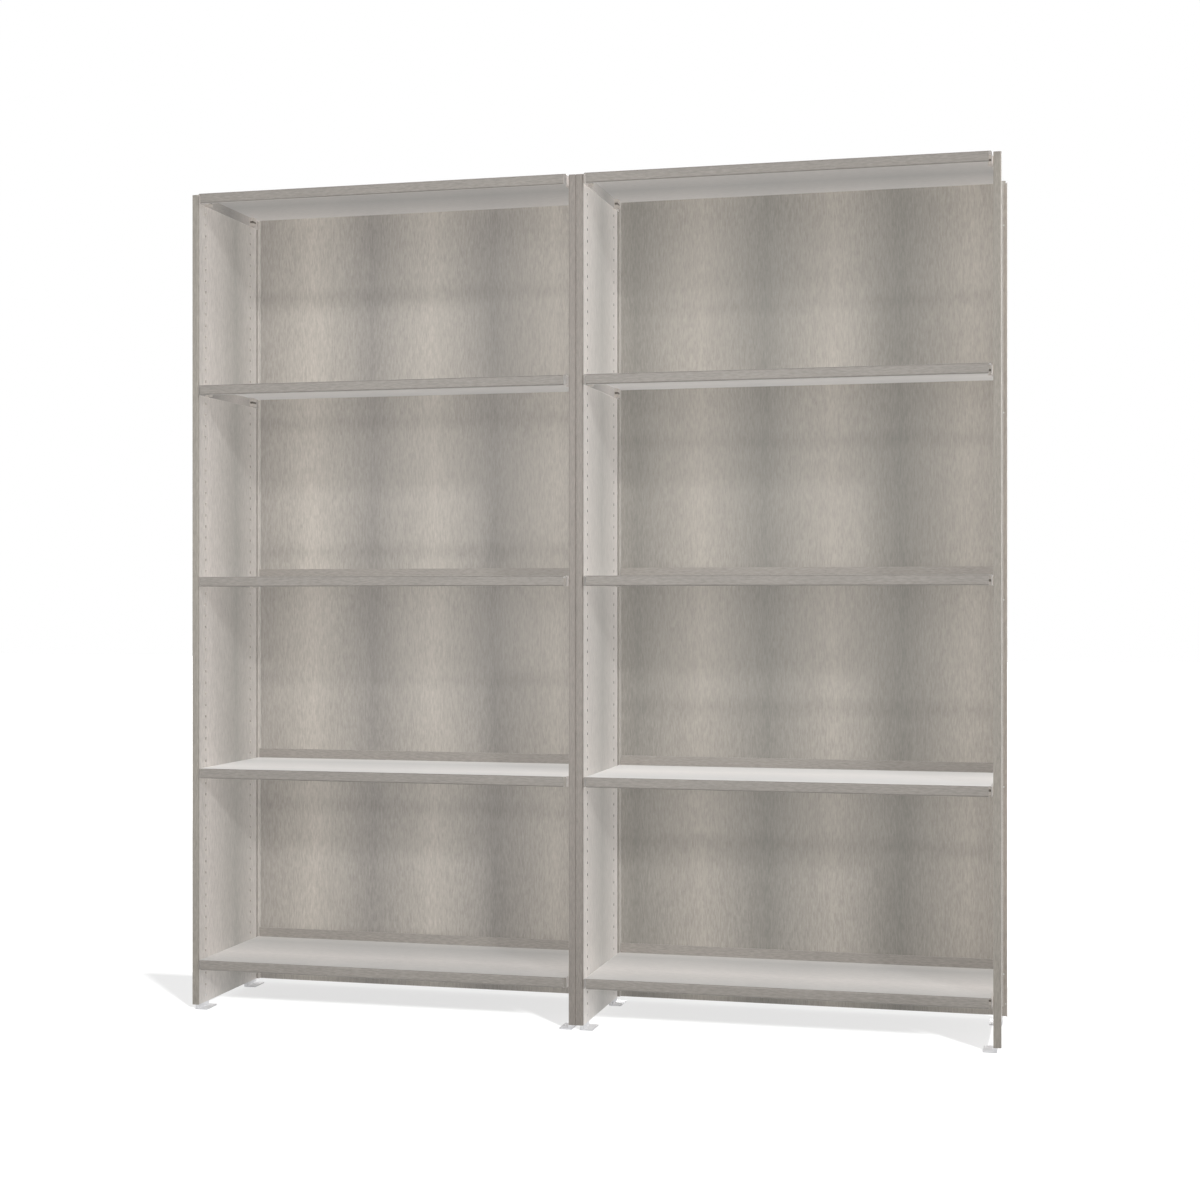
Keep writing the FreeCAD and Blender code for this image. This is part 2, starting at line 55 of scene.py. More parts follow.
# Soft-edged copies: what is merged and flattened before rounding, and which edges are rounded.
MERGE_MM = 0.005
FLAT_DEG = 1.0
SHARP_DEG = 40.0
SMOOTH_DEG = 35.0
ROUNDING_STEPS = 2


class Grain(Enum):
    """The way the sheet ran under the brush."""

    ACROSS = 0
    UPRIGHT = 2


def by_place(**values: Any) -> Any:
    """Gives a dataclass field that holds one value for each place.

    Args:
        values: The values by place.

    Returns:
        The field.
    """
    return field(default_factory=lambda: dict(values))


def linear(hex_code: str) -> tuple[float, float, float, float]:
    """Turns an sRGB hex colour into a linear one.

    Args:
        hex_code: Six hexadecimal digits, with or without a leading hash.

    Returns:
        Linear red, green, blue and an alpha of 1.
    """
    digits = hex_code.lstrip("#")
    channels = [int(digits[i:i + 2], 16) / 255 for i in (0, 2, 4)]
    red, green, blue = [
        c / 12.92 if c <= 0.04045 else ((c + 0.055) / 1.055) ** 2.4 for c in channels
    ]
    return red, green, blue, 1.0


def add_node(
    tree: bpy.types.NodeTree,
    kind: str,
    settings: dict[Any, Any] | None = None,
    links: dict[Any, bpy.types.NodeSocket] | None = None,
) -> bpy.types.Node:
    """Adds a node with its settings and links.

    Args:
        tree: The node tree that takes the node.
        kind: Blender's name for the kind of node.
        settings: Values by property name, input name or input number.
        links: Source sockets by input name or number.

    Returns:
        The new node.
    """
    node = tree.nodes.new(kind)
    for key, value in (settings or {}).items():
        if isinstance(key, str) and key in node.bl_rna.properties:
            setattr(node, key, value)
        else:
            node.inputs[key].default_value = value
    for key, source in (links or {}).items():
        tree.links.new(source, node.inputs[key])
    return node


def new_material(name: str) -> tuple[bpy.types.Material, bpy.types.NodeTree]:
    """Makes an empty node material.

    Args:
        name: The material's name.

    Returns:
        The material and its node tree.
    """
    material = bpy.data.materials.new(name)
    material.use_nodes = True
    material.node_tree.nodes.clear()
    return material, material.node_tree


@dataclass(frozen=True)
class BrushedAluminium:
    """Clear-anodised aluminium sheet, brushed one way.

    The brush leaves fine streaks that run one way, broad soft bands of paler and deeper tone are
    painted reflections of light, and the anodising keeps the shine low and a little warm.
    """

    name: str
    grain: Grain
    pale: str
    deep: str
    band_axis: str
    band_peak_mm: float
    band_period_mm: float = 357.0
    band_waver: float = 0.25
    turned_axis: str = "Y"
    turned_range: tuple[float, float] = (0.08, 0.35)
    # Painted light and shade: faces turned across the sheet take these tones by the way they face,
    # the second one behind the front fold.
    painted_facing_hex: str | None = None
    painted_rear_facing_hex: str | None = None
    front_fold_mm: tuple[float, float] = (-180.0, -150.0)
    dip_place_mm: float = 0.0
    dip_period_mm: float = 360.0
    dip_range: tuple[float, float] = (0.82, 0.98)
    dip_depth: float = 0.0
    painted_falloff_ends_mm: tuple[float, float] = (0.0, 1.0)
    painted_falloff_depth: float = 0.0
    streak_width_mm: float = 3.0
    streak_length_mm: float = 18.0
    streak_depth: float = 0.19
    cloud_mm: float = 140.0
    cloud_stretch: float = 0.35
    cloud_depth: float = 0.05
    noise_range: tuple[float, float] = (0.25, 0.75)
    roughness: float = 0.50
    rough_play: float = 0.08
    bump: float = 0.12
    relief_mm: float = 0.05
    metallic: float = 0.3
    sheen: float = 1.0
    sheen_roughness: float = 0.27

    def band_settings(self, axis: str, peak_mm: float, period_mm: float) -> dict[str, Any]:
        """Gives the band texture's settings for soft bands across the sheet.

        Args:
            axis: The axis that the bands cross.
            peak_mm: Where one band's middle lies.
            period_mm: The distance from band to band.

        Returns:
            Settings that put a peak of 1 at that place and at every period from it.
        """
        # Blender's band texture repeats every 2 pi / (20 x scale).
        phase = 2 * math.pi * (0.5 - peak_mm / period_mm)
        return {
            "wave_type": "BANDS", "bands_direction": axis, "wave_profile": "TRI",
            "Scale": 2 * math.pi / (20 * period_mm * MM), "Phase Offset": phase % (2 * math.pi),
            "Distortion": self.band_waver, "Detail": 1.0, "Detail Scale": 2.0,
        }

    def with_painted_facing_light(
        self, tree: bpy.types.NodeTree, coords: bpy.types.NodeSocket, colour: bpy.types.NodeSocket,
    ) -> bpy.types.NodeSocket:
        """Paints light and shade on the faces turned across the sheet, each in a tone set by how it
        faces.

        Args:
            tree: The material's node tree.
            coords: The object coordinates.
            colour: The flat sheet's colour.

        Returns:
            The colour of all faces.
        """
        normal = add_node(tree, "ShaderNodeTexCoord").outputs["Normal"]
        facing = add_node(tree, "ShaderNodeSeparateXYZ", links={"Vector": normal})
        turned = add_node(
            tree, "ShaderNodeMath", {"operation": "ABSOLUTE"},
            {0: facing.outputs[self.turned_axis]},
        )
        fold = add_node(
            tree, "ShaderNodeMapRange",
            {"From Min": self.turned_range[0], "From Max": self.turned_range[1]},
            {"Value": turned.outputs["Value"]},
        )
        settings: dict[Any, Any] = {"data_type": "RGBA", 7: linear(self.painted_facing_hex)}
        links = {0: fold.outputs["Result"], 6: colour}
        # Behind the front fold the turned faces take a second painted tone of light and shade, for
        # the punched hole edges, rear flanges and rear upstands.
        if self.painted_rear_facing_hex:
            place = add_node(tree, "ShaderNodeSeparateXYZ", links={"Vector": coords})
            depth = add_node(
                tree, "ShaderNodeMapRange",
                {"From Min": self.front_fold_mm[0] * MM, "From Max": self.front_fold_mm[1] * MM},
                {"Value": place.outputs["Y"]},
            )
            tones = add_node(
                tree, "ShaderNodeMix",
                {"data_type": "RGBA", 6: linear(self.painted_facing_hex), 7: linear(self.painted_rear_facing_hex)},
                {0: depth.outputs["Result"]},
            )
            links[7] = tones.outputs[2]
        return add_node(tree, "ShaderNodeMix", settings, links).outputs[2]

    def working_marks(
        self, tree: bpy.types.NodeTree, coords: bpy.types.NodeSocket,
        streaks: bpy.types.NodeSocket, clouds: bpy.types.NodeSocket,
    ) -> bpy.types.NodeSocket:
        """Gathers how much each mark of the sheet's working lightens or deepens its colour.

        Args:
            tree: The material's node tree.
            coords: The object coordinates.
            streaks: The brush's streaks.
            clouds: The soft unevenness of the anodising.

        Returns:
            A factor for the colour, around 1.
        """
        low, high = self.noise_range
        marks = [
            add_node(
                tree, "ShaderNodeMapRange",
                {"From Min": low, "From Max": high, "To Min": 1 - depth, "To Max": 1 + depth},
                {"Value": source},
            ).outputs["Result"]
            for source, depth in ((clouds, self.cloud_depth), (streaks, self.streak_depth))
        ]
        # The brush paused at even steps along the coil and left narrow, slightly deeper dips.
        if self.dip_depth:
            dips = add_node(
                tree, "ShaderNodeTexWave",
                self.band_settings("Z", self.dip_place_mm, self.dip_period_mm),
                {"Vector": coords},
            )
            low, high = self.dip_range
            marks.append(add_node(
                tree, "ShaderNodeMapRange",
                {"From Min": low, "From Max": high, "To Min": 1.0, "To Max": 1 - self.dip_depth},
                {"Value": dips.outputs["Fac"]},
            ).outputs["Result"])
        # Painted light: the tone is painted lighter at one end of the sheet and darker at the
        # other, as light falls off across it.
        if self.painted_falloff_depth:
            place = add_node(tree, "ShaderNodeSeparateXYZ", links={"Vector": coords})
            low, high = (end * MM for end in self.painted_falloff_ends_mm)
            marks.append(add_node(
                tree, "ShaderNodeMapRange",
                {
                    "From Min": low, "From Max": high,
                    "To Min": 1 + self.painted_falloff_depth, "To Max": 1 - self.painted_falloff_depth,
                },
                {"Value": place.outputs["X"]},
            ).outputs["Result"])
        light = marks[0]
        for mark in marks[1:]:
            light = add_node(
                tree, "ShaderNodeMath", {"operation": "MULTIPLY"}, {0: light, 1: mark},
            ).outputs["Value"]
        return light

    def build(self) -> bpy.types.Material:
        """Makes the material.

        Returns:
            The finished material.
        """
        material, tree = new_material(self.name)
        coords = add_node(tree, "ShaderNodeTexCoord").outputs["Object"]

        # Streaks under a millimetre wide would not show, so they are drawn a few times as wide.
        across = 1 / (self.streak_width_mm * MM)
        along = 1 / (self.streak_length_mm * MM)
        scale = [along if axis == self.grain.value else across for axis in range(3)]
        streak_place = add_node(tree, "ShaderNodeMapping", {"Scale": scale}, {"Vector": coords})
        streaks = add_node(
            tree, "ShaderNodeTexNoise", {"Scale": 1.0, "Detail": 2.0, "Roughness": 0.6},
            {"Vector": streak_place.outputs["Vector"]},
        ).outputs["Fac"]
        flow = [self.cloud_stretch if axis == self.grain.value else 1.0 for axis in range(3)]
        cloud_place = add_node(tree, "ShaderNodeMapping", {"Scale": flow}, {"Vector": coords})
        clouds = add_node(
            tree, "ShaderNodeTexNoise",
            {"Scale": 1 / (self.cloud_mm * MM), "Detail": 2.0, "Roughness": 0.5},
            {"Vector": cloud_place.outputs["Vector"]},
        ).outputs["Fac"]

        # Painted reflection: broad soft bands of paler and deeper tone stand for columns of
        # reflected light.
        bands = add_node(
            tree, "ShaderNodeTexWave",
            self.band_settings(self.band_axis, self.band_peak_mm, self.band_period_mm),
            {"Vector": coords},
        )
        colour = add_node(
            tree, "ShaderNodeMix",
            {"data_type": "RGBA", 6: linear(self.deep), 7: linear(self.pale)},
            {0: bands.outputs["Fac"]},
        ).outputs[2]
        # Painted light and shade: faces turned across the sheet take their painted tone in place of
        # the sheet's colour.
        if self.painted_facing_hex:
            colour = self.with_painted_facing_light(tree, coords, colour)
        worked = add_node(
            tree, "ShaderNodeMix",
            {"data_type": "RGBA", "blend_type": "MULTIPLY", 0: 1.0},
            {6: colour, 7: self.working_marks(tree, coords, streaks, clouds)},
        )

        rough = add_node(
            tree, "ShaderNodeMapRange",
            {
                "To Min": self.roughness - self.rough_play,
                "To Max": self.roughness + self.rough_play,
            },
            {"Value": streaks},
        )
        relief = add_node(
            tree, "ShaderNodeBump", {"Strength": self.bump, "Distance": self.relief_mm * MM},
            {"Height": streaks},
        )
        shader = add_node(
            tree, "ShaderNodeBsdfPrincipled",
            {
                "Metallic": self.metallic,
                "Sheen Weight": self.sheen, "Sheen Roughness": self.sheen_roughness,
            },
            {
                "Base Color": worked.outputs[2],
                "Roughness": rough.outputs["Result"],
                "Normal": relief.outputs["Normal"],
            },
        )
        add_node(tree, "ShaderNodeOutputMaterial", links={"Surface": shader.outputs["BSDF"]})
        return material


@dataclass(frozen=True)
class MouldedPlastic:
    """Moulded plastic or rubber with a fine spark-eroded skin and slightly uneven colour."""

    name: str
    pale: str
    deep: str
    skin_mm: float = 1.2
    cloud_mm: float = 18.0
    roughness: float = 0.45
    rough_play: float = 0.07
    bump: float = 0.2
    relief_mm: float = 0.05
    refraction: float = 1.49

    def build(self) -> bpy.types.Material:
        """Makes the material.

        Returns:
            The finished material.
        """
        material, tree = new_material(self.name)
        coords = add_node(tree, "ShaderNodeTexCoord").outputs["Object"]
        skin = add_node(
            tree, "ShaderNodeTexNoise", {"Scale": 1 / (self.skin_mm * MM), "Detail": 2.0},
            {"Vector": coords},
        )
        clouds = add_node(
            tree, "ShaderNodeTexNoise", {"Scale": 1 / (self.cloud_mm * MM), "Detail": 2.0},
            {"Vector": coords},
        )
        colour = add_node(
            tree, "ShaderNodeMix",
            {"data_type": "RGBA", 6: linear(self.deep), 7: linear(self.pale)},
            {0: clouds.outputs["Fac"]},
        )
        rough = add_node(
            tree, "ShaderNodeMapRange",
            {
                "To Min": self.roughness - self.rough_play,
                "To Max": self.roughness + self.rough_play,
            },
            {"Value": skin.outputs["Fac"]},
        )
        relief = add_node(
            tree, "ShaderNodeBump", {"Strength": self.bump, "Distance": self.relief_mm * MM},
            {"Height": skin.outputs["Fac"]},
        )
        shader = add_node(
            tree, "ShaderNodeBsdfPrincipled", {"IOR": self.refraction},
            {
                "Base Color": colour.outputs[2],
                "Roughness": rough.outputs["Result"],
                "Normal": relief.outputs["Normal"],
            },
        )
        add_node(tree, "ShaderNodeOutputMaterial", links={"Surface": shader.outputs["BSDF"]})
        return material


@dataclass(frozen=True)
class PlatedSteel:
    """Zinc-plated steel: a cool grey crystalline skin, duller where it was handled."""

    name: str
    pale: str
    deep: str
    spangle_mm: float = 1.5
    haze_mm: float = 6.0
    roughness: float = 0.38
    rough_play: float = 0.1

    def build(self) -> bpy.types.Material:
        """Makes the material.

        Returns:
            The finished material.
        """
        material, tree = new_material(self.name)
        coords = add_node(tree, "ShaderNodeTexCoord").outputs["Object"]
        spangle = add_node(
            tree, "ShaderNodeTexVoronoi", {"Scale": 1 / (self.spangle_mm * MM)}, {"Vector": coords},
        )
        haze = add_node(
            tree, "ShaderNodeTexNoise", {"Scale": 1 / (self.haze_mm * MM), "Detail": 3.0},
            {"Vector": coords},
        )
        colour = add_node(
            tree, "ShaderNodeMix",
            {"data_type": "RGBA", 6: linear(self.deep), 7: linear(self.pale)},
            {0: haze.outputs["Fac"]},
        )
        rough = add_node(
            tree, "ShaderNodeMapRange",
            {
                "To Min": self.roughness - self.rough_play,
                "To Max": self.roughness + self.rough_play,
            },
            {"Value": spangle.outputs["Distance"]},
        )
        shader = add_node(
            tree, "ShaderNodeBsdfPrincipled", {"Metallic": 1.0},
            {"Base Color": colour.outputs[2], "Roughness": rough.outputs["Result"]},
        )
        add_node(tree, "ShaderNodeOutputMaterial", links={"Surface": shader.outputs["BSDF"]})
        return material


def deselect_all() -> None:
    """Leaves object mode with nothing selected."""
    if bpy.context.object and bpy.context.object.mode != "OBJECT":
        bpy.ops.object.mode_set(mode="OBJECT")
    bpy.ops.object.select_all(action="DESELECT")


def paint(node: bpy.types.Object, material: bpy.types.Material) -> None:
    """Gives a piece one material all over.

    Args:
        node: The piece.
        material: Its finish.
    """
    node.data.materials.clear()
    node.data.materials.append(material)


def soft_edged_copy(node_name: str, piece_name: str, radius_mm: float) -> bpy.types.Object:
    """Copies a solid with its sharp edges rounded, as a mould or a die leaves them.

    Args:
        node_name: The solid to copy.
        piece_name: The new piece's name.
        radius_mm: The rounding.

    Returns:
        The new piece, in place and on its own mesh.
    """
    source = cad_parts[node_name]
    piece = bpy.data.objects.new(piece_name, source.data.copy())
    bpy.context.scene.collection.objects.link(piece)
    deselect_all()
    piece.select_set(True)
    bpy.context.view_layer.objects.active = piece
    bpy.ops.object.mode_set(mode="EDIT")
    bpy.ops.mesh.select_all(action="SELECT")
    bpy.ops.mesh.remove_doubles(threshold=MERGE_MM * MM)
    bpy.ops.mesh.dissolve_limited(angle_limit=math.radians(FLAT_DEG))
    bpy.ops.object.mode_set(mode="OBJECT")
    rounding = piece.modifiers.new("rounding", "BEVEL")
    rounding.width = radius_mm * MM
    rounding.segments = ROUNDING_STEPS
    rounding.limit_method = "ANGLE"
    rounding.angle_limit = math.radians(SHARP_DEG)
    rounding.use_clamp_overlap = True
    bpy.ops.object.modifier_apply(modifier=rounding.name)
    bpy.ops.object.shade_smooth_by_angle(angle=math.radians(SMOOTH_DEG))
    return piece


@dataclass
class SidePanels:
    """The four folded and perforated side panels, with the rails that close their hole rows."""

    # Painted reflection bands; the middle panels are painted a little paler than the end panels, as
    # painted light.
    band_peaks_mm: dict[str, float] = by_place(end=-128.0, middle=-165.0)
    pales: dict[str, str] = by_place(end="#d3cdc8", middle="#d9d3ce")
    deeps: dict[str, str] = by_place(end="#aaa7a2", middle="#b3b0ab")
    # Painted shade: the front flanges and, behind the front fold, the hole edges and rear flanges
    # are painted darker than the flat sheet.
    painted_front_shades: dict[str, str] = by_place(end="#8c877f", middle="#817b75")
    painted_rear_shades: dict[str, str] = by_place(end="#9a948d", middle="#5c5751")

    def finish(self, place: str) -> BrushedAluminium:
        """Gives the finish of the end panels or of the middle panels.

        Args:
            place: Which of the two.

        Returns:
            The finish.
        """
        return BrushedAluminium(
            name=f"anodised_aluminium_brushed_upright_{place}_panels", grain=Grain.UPRIGHT,
            pale=self.pales[place], deep=self.deeps[place], band_axis="Y",
            band_peak_mm=self.band_peaks_mm[place],
            painted_facing_hex=self.painted_front_shades[place], painted_rear_facing_hex=self.painted_rear_shades[place],
        )

    def dress(self) -> None:
        """Finishes the panels and the rails behind their holes."""
        for place in self.band_peaks_mm:
            material = self.finish(place).build()
            for name in sorted(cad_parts):
                if name.startswith(("side_panel_", "hole_rail_")) and place in name:
                    paint(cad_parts[name], material)
                    LOG.info("%s", name)


@dataclass
class Shelves:
    """The ten folded shelves, each with its own placing of the painted bands of reflected light."""

    band_peaks_mm: dict[str, float] = by_place(
        left_1=-60.0, left_2=-105.0, left_3=-90.0, left_4=50.0, left_5=178.0,
        right_1=-52.0, right_2=25.0, right_3=10.0, right_4=75.0, right_5=-143.0,
    )
    # The right shelves are painted paler than the left: painted light.
    pales: dict[str, str] = by_place(left="#b5afaa", right="#bdb7b2")
    sheens: dict[str, float] = by_place(left=0.8, right=1.0)
    deep: str = "#8b8884"
    # Painted shade: the front lips and, a little lighter, the rear upstands are painted darker than
    # the flat sheet.
    front: str = "#8c8781"
    rear: str = "#948f89"
    metallic: float = 0.15

    def finish(self, place: str) -> BrushedAluminium:
        """Gives one shelf's finish, with its painted bands of reflected light in their own place.

        Args:
            place: The shelf's bay and level.

        Returns:
            The finish.
        """
        bay = place.split("_")[0]
        return BrushedAluminium(
            name=f"anodised_aluminium_brushed_across_{place}", grain=Grain.ACROSS,
            pale=self.pales[bay], deep=self.deep,
            band_axis="Y", band_peak_mm=self.band_peaks_mm[place],
            painted_facing_hex=self.front, painted_rear_facing_hex=self.rear,
            metallic=self.metallic, sheen=self.sheens[bay],
        )

    def dress(self) -> None:
        """Finishes the shelves."""
        for place in self.band_peaks_mm:
            paint(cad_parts[f"shelf_{place}"], self.finish(place).build())
            LOG.info("shelf %s", place)


@dataclass
class BackPanels:
    """The two pan-shaped back panels, with painted bands of reflected light."""

    band_peaks_mm: dict[str, float] = by_place(left=-513.0, right=605.0)
    dip_places_mm: dict[str, float] = by_place(left=148.0, right=80.0)
    dip_depth: float = 0.09
    # Painted light: the left back is painted lighter at its left end and darker at its right.
    painted_falloff_ends_mm: tuple[float, float] = (-1040.0, -20.0)
    painted_falloffs: dict[str, float] = by_place(left=0.12, right=0.0)
    # The right back is painted a little darker than the left: painted shade. The recess walls take
    # a painted highlight.
    pales: dict[str, str] = by_place(left="#b1aba3", right="#a8a29a")
    deeps: dict[str, str] = by_place(left="#8e8a85", right="#86837d")
    wall_highlights: dict[str, str] = by_place(left="#b2ada7", right="#aca8a2")
    metallic: float = 0.15

    def finish(self, bay: str) -> BrushedAluminium:
        """Gives one bay's finish, with its painted bands of reflected light in their own place.

        Args:
            bay: The bay that the panel closes.

        Returns:
            The finish.
        """
        return BrushedAluminium(
            name=f"anodised_aluminium_brushed_upright_{bay}_back", grain=Grain.UPRIGHT,
            pale=self.pales[bay], deep=self.deeps[bay],
            band_axis="X", band_peak_mm=self.band_peaks_mm[bay],
            turned_axis="X", painted_facing_hex=self.wall_highlights[bay],
            dip_place_mm=self.dip_places_mm[bay], dip_depth=self.dip_depth,
            painted_falloff_ends_mm=self.painted_falloff_ends_mm, painted_falloff_depth=self.painted_falloffs[bay],
            metallic=self.metallic,
        )

    def dress(self) -> None:
        """Finishes the back panels."""
        for bay in self.band_peaks_mm:
            paint(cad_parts[f"back_panel_{bay}"], self.finish(bay).build())
            LOG.info("back panel %s", bay)


@dataclass
class Fittings:
    """Small moulded and plated pieces: feet, shelf clips, screws, bolts and nuts."""

    foot_plastic: MouldedPlastic = MouldedPlastic("acetal_moulded_feet", "#d8d8da", "#cfcfd1")
    clip_plastic: MouldedPlastic = MouldedPlastic("acetal_moulded_clips", "#c2bbb4", "#b4ada6")
    # Painted shade: a dark block sits in each clip's slot, where there is only shade.
    painted_slot_shade: MouldedPlastic = MouldedPlastic(
        "painted_shade_slot_blocks", "#6c665f", "#5f5a54", roughness=0.7,
    )
    steel: PlatedSteel = PlatedSteel("steel_zinc_plated", "#c9c9c6", "#a9aaa8")
    slot_mm: tuple[float, float, float] = (9.0, 26.0, 6.0)
    slot_drop_mm: float = 12.5
    hook_mm: float = 4.65
    clip_reach_mm: float = 14.0
    shade_block_inset_mm: float = 1.5
    foot_edge_mm: float = 0.8
    clip_edge_mm: float = 0.5
    shade_block_edge_mm: float = 0.35
    fastener_edge_mm: float = 0.35

    def rounded(
        self, node_name: str, radius_mm: float, material: bpy.types.Material,
    ) -> None:
        """Puts a soft-edged copy in a solid's place.

        Args:
            node_name: The solid.
            radius_mm: The rounding of its edges.
            material: The finish.
        """
        piece = soft_edged_copy(node_name, f"{node_name}_moulded", radius_mm)
        paint(piece, material)
        self.seat(piece, node_name)

    def slot_shade_block(self, material: bpy.types.Material) -> bpy.types.Object:
        """Models a dark block of painted shade that fills a clip's slot.

        Args:
            material: Its finish.

        Returns:
            The core, with its middle at the origin.
        """
        depth, length, height = (side * MM for side in self.slot_mm)
        inset = self.shade_block_inset_mm * MM
        deselect_all()
        bpy.ops.mesh.primitive_cube_add(size=1)
        shade_block = bpy.context.object
        shade_block.scale = (depth - inset, length - 2 * inset, height)
        bpy.ops.object.transform_apply(location=False, rotation=False, scale=True)
        bpy.ops.object.mode_set(mode="EDIT")
        bpy.ops.mesh.select_all(action="SELECT")
        bpy.ops.mesh.bevel(offset=self.shade_block_edge_mm * MM, segments=ROUNDING_STEPS)
        bpy.ops.object.mode_set(mode="OBJECT")
        paint(shade_block, material)
        return shade_block

    def with_slot_shade(self, node_name: str, material: bpy.types.Material, shade_block: bpy.types.Object) -> None:
        """Puts soft-edged clips in their solids' place, with a dark block of painted shade in each
        slot.

        Args:
            node_name: The four clips of one shelf.
            material: Finish of the clips.
            shade_block: The block of painted shade to copy.
        """
        piece = soft_edged_copy(node_name, f"{node_name}_moulded", self.clip_edge_mm)
        paint(piece, material)
        low, high = (Vector(corner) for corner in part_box(node_name))
        depth, length, _ = (side * MM for side in self.slot_mm)
        inward = (self.hook_mm + self.clip_reach_mm - self.shade_block_inset_mm / 2) * MM - depth / 2
        deselect_all()
        for x in (low.x + inward, high.x - inward):
            for y in (low.y + length / 2, high.y - length / 2):
                block = bpy.data.objects.new("slot_shade_block", shade_block.data.copy())
                block.location = (x, y, high.z - self.slot_drop_mm * MM)
                bpy.context.scene.collection.objects.link(block)
                block.select_set(True)
        piece.select_set(True)
        bpy.context.view_layer.objects.active = piece
        bpy.ops.object.join()
        self.seat(piece, node_name)

    def seat(self, piece: bpy.types.Object, node_name: str) -> None:
        """Lets a piece stand for a solid.

        Args:
            piece: The dressed piece.
            node_name: The solid that it stands for.
        """
        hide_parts(node_name)
        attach(piece, CARCASS)
        LOG.info("%s", piece.name)

    def build(self) -> None:
        """Makes and finishes all the fittings."""
        foot = self.foot_plastic.build()
        clip = self.clip_plastic.build()
        shade_block = self.slot_shade_block(self.painted_slot_shade.build())
        steel = self.steel.build()
        for name in sorted(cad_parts):
            if name.startswith("foot_"):
                self.rounded(name, self.foot_edge_mm, foot)
            elif name.startswith("shelf_clips_"):
                self.with_slot_shade(name, clip, shade_block)
            elif name.startswith(("back_screws_", "joining_")):
                self.rounded(name, self.fastener_edge_mm, steel)
        bpy.data.objects.remove(shade_block)


@dataclass(frozen=True)
class Lamp:
    """One lamp: where it stands as seen from the unit, and the light it adds there."""

    name: str
    height_deg: float
    turn_deg: float
    level: float
    spread_deg: float = 40.0
    distance: float | None = None

    def add(self, casts_shadow: bool) -> bpy.types.Object:
        """Adds the lamp.

        Args:
            casts_shadow: Whether the unit's pieces block its light.

        Returns:
            The lamp's object.
        """
        lamp = bpy.data.lights.new(self.name, "SUN" if self.distance is None else "POINT")
        stand = bpy.data.objects.new(self.name, lamp)
        stand.rotation_euler = (math.radians(90 - self.height_deg), 0, math.radians(self.turn_deg))
        if self.distance is None:
            lamp.energy = self.level * math.pi
            lamp.angle = math.radians(self.spread_deg)
        else:
            lamp.energy = self.level * 4 * (math.pi * self.distance) ** 2
            lamp.shadow_soft_size = self.distance * math.tan(math.radians(self.spread_deg / 2))
            towards = stand.rotation_euler.to_matrix() @ Vector((0, 0, self.distance))
            stand.location = Vector((0, 0, UNIT_MIDDLE)) + towards
        lamp.use_shadow = casts_shadow
        bpy.context.scene.collection.objects.link(stand)
        return stand


